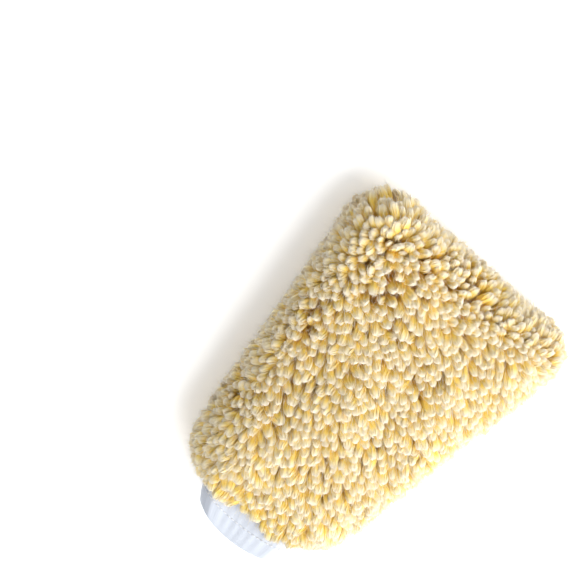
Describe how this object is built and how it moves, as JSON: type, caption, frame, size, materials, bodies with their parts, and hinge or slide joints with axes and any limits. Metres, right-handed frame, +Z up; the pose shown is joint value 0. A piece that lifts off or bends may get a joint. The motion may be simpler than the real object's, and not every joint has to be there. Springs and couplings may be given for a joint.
{
  "type": "wash mitt",
  "caption": "Car wash mitt: cream pile-fabric bag with a smooth lining and an elasticated white cuff, worn over the hand to wash bodywork.",
  "frame": {"origin": "middle of the surface that the mitt lies on, under the centre of its outline", "axes": "+Y from the cuff to the fingertips, +Z up from the palm to the back, +X across the hand"},
  "size_m": [0.1996, 0.2638, 0.0658],
  "materials": {
    "pile": "soft clumped lambswool pile",
    "ground_cloth": "plain weft-knitted backing",
    "lining": "smooth warp-knitted tricot",
    "cuff_cloth": "smooth white tricot, slightly glossy",
    "elastic": "woven rubber-cored band",
    "thread": "spun polyester sewing thread"
  },
  "bodies": {
    "root": {"back_pile": "pile", "palm_pile": "pile", "back_ground_cloth": "ground_cloth", "palm_ground_cloth": "ground_cloth", "back_lining": "lining", "palm_lining": "lining", "cuff": "cuff_cloth", "cuff_elastic": "elastic", "perimeter_seam_thread": "thread", "perimeter_overlock_thread": "thread", "lining_seam_thread": "thread", "lining_tack_thread": "thread", "cuff_join_thread": "thread", "cuff_channel_thread": "thread", "cuff_side_seam_thread": "thread", "elastic_join_thread": "thread"}
  },
  "joints": []
}
